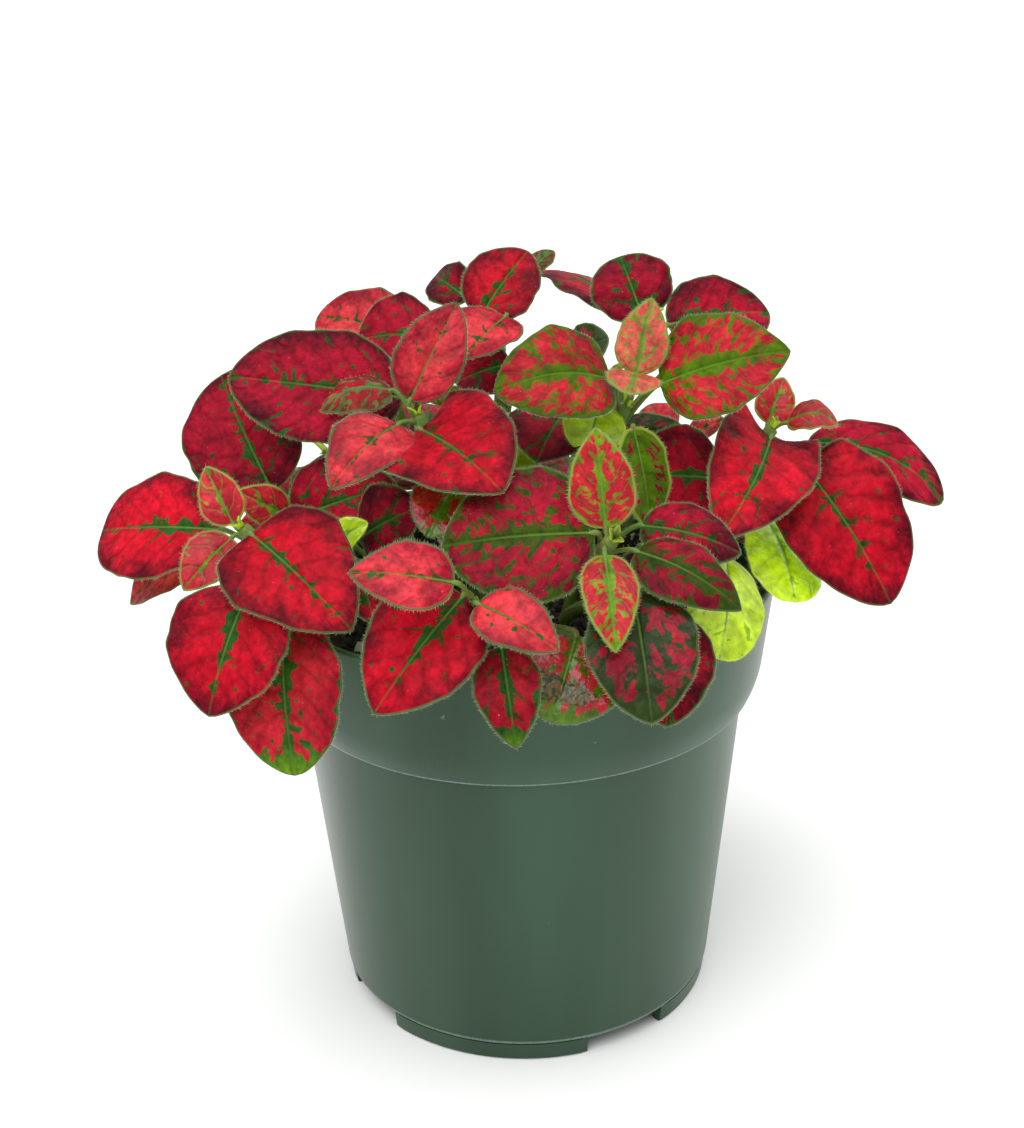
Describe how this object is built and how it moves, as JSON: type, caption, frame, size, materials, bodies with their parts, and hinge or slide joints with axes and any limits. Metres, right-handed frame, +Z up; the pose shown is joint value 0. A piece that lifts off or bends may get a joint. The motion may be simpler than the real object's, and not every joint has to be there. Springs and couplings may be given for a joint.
{
  "type": "potted polka dot plant",
  "caption": "Bushy potted plant with ovate pink-red and green mottled leaves on short branching stems, filling a round tapered dark green nursery pot with a deep rim band.",
  "frame": {"origin": "on the pot's axis, at the surface that its feet stand on", "axes": "+Z up along the pot's axis; -Y towards the front of the plant, where its fullest and lowest leaves hang over the rim; +X to the right seen from the front"},
  "size_m": [0.1742, 0.1361, 0.1602],
  "materials": {
    "pot": "satin moulded polypropylene, dark green",
    "soil": "moist potting soil, dark brown and crumbly",
    "leaves_red": "living leaf, soft satin, crimson with green veins and specks",
    "leaves_deep": "living leaf, soft satin, deep crimson with dark green veins",
    "leaves_green": "living leaf, soft satin, green mottled with pink-red"
  },
  "bodies": {
    "root": {"pot": "pot", "soil": "soil", "shoot_left": "leaves_red", "shoot_left_back": "leaves_deep", "shoot_upper_left": "leaves_red", "shoot_top": "leaves_red", "shoot_crown": "leaves_green", "shoot_centre": "leaves_green", "shoot_front": "leaves_red", "shoot_front_right": "leaves_red", "shoot_right": "leaves_red", "shoot_centre_right": "leaves_green", "shoot_upper_right": "leaves_deep", "shoot_back_left": "leaves_red", "shoot_back": "leaves_red", "shoot_back_right": "leaves_green", "shoot_back_upper_left": "leaves_deep", "shoot_back_upper_right": "leaves_red", "shoot_right_back": "leaves_red"}
  },
  "joints": []
}
